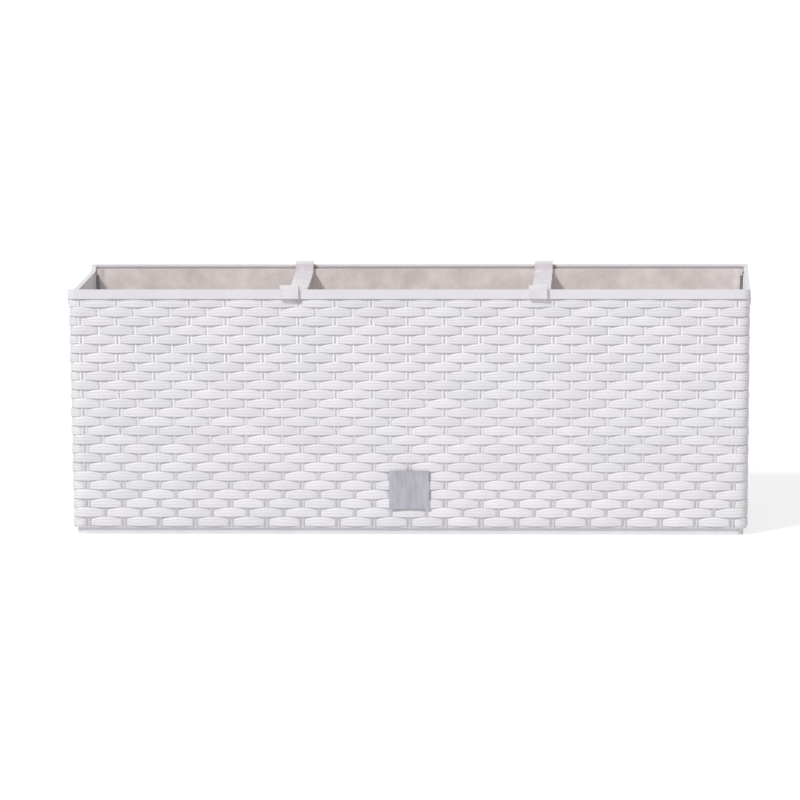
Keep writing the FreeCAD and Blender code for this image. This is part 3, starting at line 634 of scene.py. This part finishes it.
# %% Woven polypropylene
GROOVES = 4                         # along one strip
GROOVE_DEPTH = 0.18 * MM
WANDER_PER_M, WANDER_SHARE = 70.0, 0.16     # the grooves are not quite straight
CLOUDS_PER_M = 14.0                 # how often the tint drifts to lilac and back
CLOUD_LOW, CLOUD_HIGH = 0.35, 0.65
weave, tree, shader = start_material("cane_textured_white_polypropylene")
place = add(tree, "ShaderNodeTexCoord").outputs["Object"]
laid = add(tree, "ShaderNodeUVMap", uv_map="along_strip").outputs["UV"]
axes = add(tree, "ShaderNodeSeparateXYZ", {"Vector": laid})
wander = add(tree, "ShaderNodeTexNoise", {"Vector": place, "Scale": WANDER_PER_M,
             "Detail": 1.0})
bend = add(tree, "ShaderNodeMath", {0: wander.outputs["Fac"], 1: WANDER_SHARE,
           2: axes.outputs["Y"]}, operation="MULTIPLY_ADD")
turns = add(tree, "ShaderNodeMath", {0: bend.outputs[0], 1: GROOVES * 2 * pi},
            operation="MULTIPLY")
groove = add(tree, "ShaderNodeMath", {0: turns.outputs[0]}, operation="SINE")
bump = add(tree, "ShaderNodeBump", {"Height": groove.outputs[0], "Strength": 0.5,
           "Distance": GROOVE_DEPTH})
tree.links.new(bump.outputs["Normal"], shader.inputs["Normal"])
batch = add(tree, "ShaderNodeAttribute", attribute_name="batch")
shade = add(tree, "ShaderNodeMix", {"Factor": batch.outputs["Fac"],
            "A": colour("#E0DFE3"), "B": colour("#E9E7EC")}, data_type="RGBA")
cloud = add(tree, "ShaderNodeTexNoise", {"Vector": place, "Scale": CLOUDS_PER_M,
            "Detail": 3.0})
drift = add(tree, "ShaderNodeMapRange", {"Value": cloud.outputs["Fac"],
            "From Min": CLOUD_LOW, "From Max": CLOUD_HIGH})
tint = add(tree, "ShaderNodeMix", {"Factor": drift.outputs["Result"],
           "A": colour("#FBFCFA"), "B": colour("#FFFBFD")}, data_type="RGBA")
mixed = add(tree, "ShaderNodeMix", {"Factor": 1.0, "A": shade.outputs["Result"],
            "B": tint.outputs["Result"]}, data_type="RGBA", blend_type="MULTIPLY")
tree.links.new(mixed.outputs["Result"], shader.inputs["Base Color"])
shader.inputs["Roughness"].default_value = 0.4
shader.inputs["IOR"].default_value = PLASTIC_IOR
for piece in panels:
    piece.data.materials.append(weave)
print("weave finish:", weave.name)

# %% [markdown]
# ## Painted shade on the casing
# Some places of the casing's finish are painted darker to stand for shade: the
# wall behind the weave, seen only as slots between the strips, gets a faint painted
# shade, a painted shadow lies just under each row, and a painted shade line lies
# inside the rim where the liner's edge meets it. They are found from the distance
# to the middle of the planter and the height, so the rest of the finish keeps its
# colour.

# %% Painted shade in the slots, under the rows and inside the rim
# painted shade tones: for the slots, for the shadow under each row, and for the line
# inside the rim
SLOT_SHADE_TONE, ROW_SHADOW_TONE, RIM_SHADE_TONE = "#DEDCE1", "#CFCDD3", "#A9A5A6"
# the painted shadow under each row starts this far below each line between rows, and is
# this tall
ROW_SHADOW_FROM, ROW_SHADOW_HEIGHT = 1.1 * MM, 1.3 * MM   # from below each line between rows
# the outer faces of the end walls and of the long walls start at these distances
# from the middle, the bare bands start below and above the weave at these
# heights, and the painted shade line inside the rim lies between the last two
END_FACE, LONG_FACE = 253.7 * MM, 92.7 * MM
FOOT_BAND, RIM_BAND = 5.4 * MM, 179.0 * MM
LINE_FROM, LINE_TO = 182.4 * MM, 184.6 * MM

tree = finishes["casing_plastic"].node_tree
shader = tree.nodes["Principled BSDF"]
finish = shader.inputs["Base Color"].links[0].from_socket
place = add(tree, "ShaderNodeTexCoord").outputs["Object"]
far = add(tree, "ShaderNodeVectorMath", {0: place}, operation="ABSOLUTE")
axes = add(tree, "ShaderNodeSeparateXYZ", {"Vector": far.outputs["Vector"]})
past_end, past_long, past_foot, past_rim, past_from, past_to = [
    add(tree, "ShaderNodeMath", {0: axes.outputs[axis], 1: limit},
        operation="GREATER_THAN").outputs[0]
    for axis, limit in (("X", END_FACE), ("Y", LONG_FACE), ("Z", FOOT_BAND),
                        ("Z", RIM_BAND), ("Z", LINE_FROM), ("Z", LINE_TO))]
outside = add(tree, "ShaderNodeMath", {0: past_end, 1: past_long}, operation="MAXIMUM")
inside = add(tree, "ShaderNodeMath", {0: 1.0, 1: outside.outputs[0]},
             operation="SUBTRACT")
woven = add(tree, "ShaderNodeMath", {0: past_foot, 1: past_rim}, operation="SUBTRACT")
# the wall seen in the slots between the strips gets a faint painted shade
slots = add(tree, "ShaderNodeMath", {0: outside.outputs[0], 1: woven.outputs[0]},
            operation="MULTIPLY")
# painted shadow: a band just under each line between rows, in the slots only, for the
# shadow that the strip above casts
rows = add(tree, "ShaderNodeMath", {0: axes.outputs["Z"], 1: 1 / ROW,
           2: (ROW_SHADOW_FROM - WEAVE_FOOT) / ROW}, operation="MULTIPLY_ADD")
phase = add(tree, "ShaderNodeMath", {0: rows.outputs[0]}, operation="FRACT")
under = add(tree, "ShaderNodeMath", {0: phase.outputs[0], 1: ROW_SHADOW_HEIGHT / ROW},
            operation="LESS_THAN")
row_shadow = add(tree, "ShaderNodeMath", {0: slots.outputs[0], 1: under.outputs[0]},
            operation="MULTIPLY")
# painted shade: a dark line inside the rim where the liner's edge meets it, for the
# shade in the gap there
line = add(tree, "ShaderNodeMath", {0: past_from, 1: past_to}, operation="SUBTRACT")
rim_shade = add(tree, "ShaderNodeMath", {0: inside.outputs[0], 1: line.outputs[0]},
           operation="MULTIPLY")
# each mask mixes its painted shade into the finish
for factor, code in ((slots, SLOT_SHADE_TONE), (row_shadow, ROW_SHADOW_TONE), (rim_shade, RIM_SHADE_TONE)):
    finish = add(tree, "ShaderNodeMix", {"Factor": factor.outputs[0], "A": finish,
                 "B": colour(code)}, data_type="RGBA").outputs["Result"]
tree.links.new(finish, shader.inputs["Base Color"])
# the casing's finish now carries the painted shade
print("dust laid on the casing's finish")
